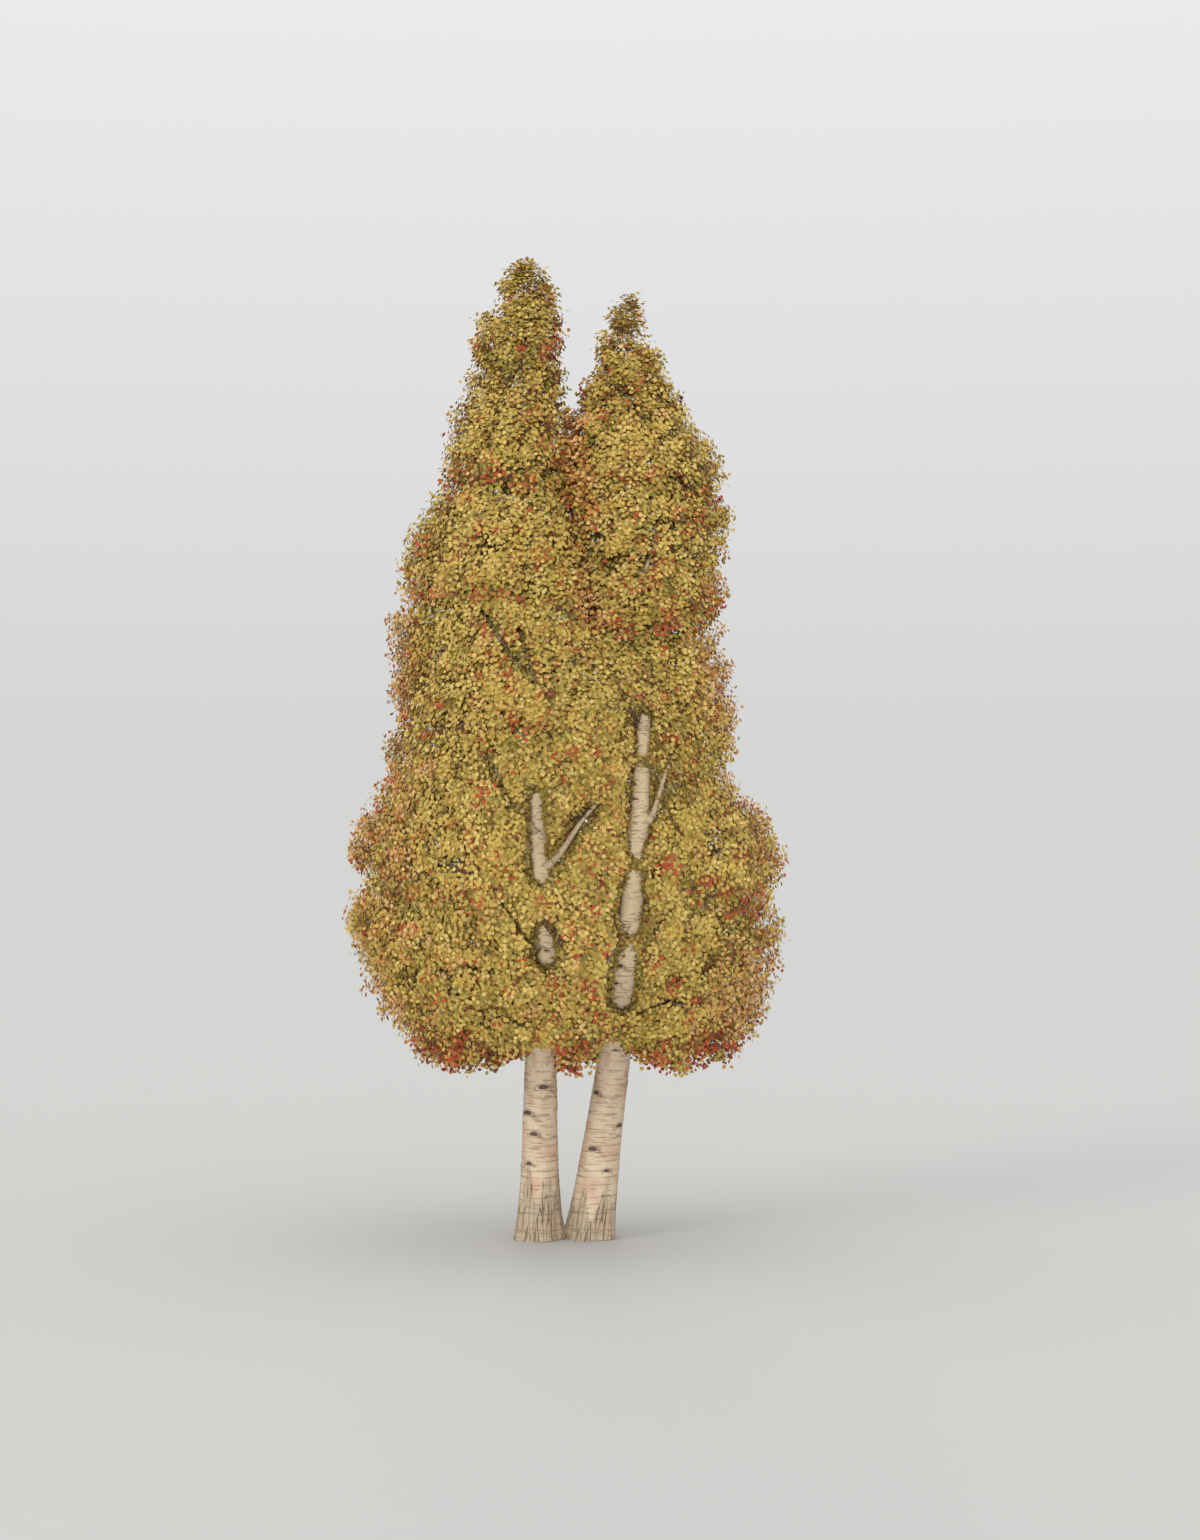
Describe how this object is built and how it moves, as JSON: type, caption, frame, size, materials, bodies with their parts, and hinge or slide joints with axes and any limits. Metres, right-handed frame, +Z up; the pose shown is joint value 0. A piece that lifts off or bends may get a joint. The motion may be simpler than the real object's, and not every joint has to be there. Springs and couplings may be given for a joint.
{
  "type": "quaking aspen tree",
  "caption": "Mature quaking aspen in autumn gold, a clump whose pale stems rise from a shared root.",
  "frame": {"origin": "middle of the flat cut under the taller stem, at ground level", "axes": "+Z up the tree, +X from the taller stem towards the other one, -Y the front"},
  "size_m": [6.1407, 5.3675, 13.9063],
  "materials": {
    "bark": "matte",
    "limb_bark": "matte",
    "leaves": "matte"
  },
  "bodies": {
    "root": {"stem_left": "bark", "stem_right": "bark", "bough_left_01": "limb_bark", "bough_left_02": "limb_bark", "bough_left_03": "limb_bark", "bough_left_04": "limb_bark", "bough_left_05": "limb_bark", "bough_left_06": "limb_bark", "bough_left_07": "limb_bark", "bough_left_08": "limb_bark", "bough_left_09": "limb_bark", "bough_left_10": "limb_bark", "bough_left_11": "limb_bark", "bough_left_12": "limb_bark", "bough_left_13": "limb_bark", "bough_left_14": "limb_bark", "bough_left_15": "limb_bark", "bough_right_01": "limb_bark", "bough_right_02": "limb_bark", "bough_right_03": "limb_bark", "bough_right_04": "limb_bark", "bough_right_05": "limb_bark", "bough_right_06": "limb_bark", "bough_right_07": "limb_bark", "bough_right_08": "limb_bark", "bough_right_09": "limb_bark", "bough_right_10": "limb_bark", "bough_right_11": "limb_bark", "bough_right_12": "limb_bark", "bough_left_16": "limb_bark", "foliage_left_01": "leaves", "foliage_left_02": "leaves", "foliage_left_03": "leaves", "foliage_left_04": "leaves", "foliage_left_05": "leaves", "foliage_left_06": "leaves", "foliage_left_07": "leaves", "foliage_left_08": "leaves", "foliage_left_09": "leaves", "foliage_left_10": "leaves", "foliage_left_11": "leaves", "foliage_left_12": "leaves", "foliage_left_13": "leaves", "foliage_left_14": "leaves", "foliage_left_15": "leaves", "foliage_right_01": "leaves", "foliage_right_02": "leaves", "foliage_right_03": "leaves", "foliage_right_04": "leaves", "foliage_right_05": "leaves", "foliage_right_06": "leaves", "foliage_right_07": "leaves", "foliage_right_08": "leaves", "foliage_right_09": "leaves", "foliage_right_10": "leaves", "foliage_right_11": "leaves", "foliage_right_12": "leaves", "foliage_left_16": "leaves", "foliage_left_leader": "leaves", "foliage_right_leader": "leaves"}
  },
  "joints": []
}
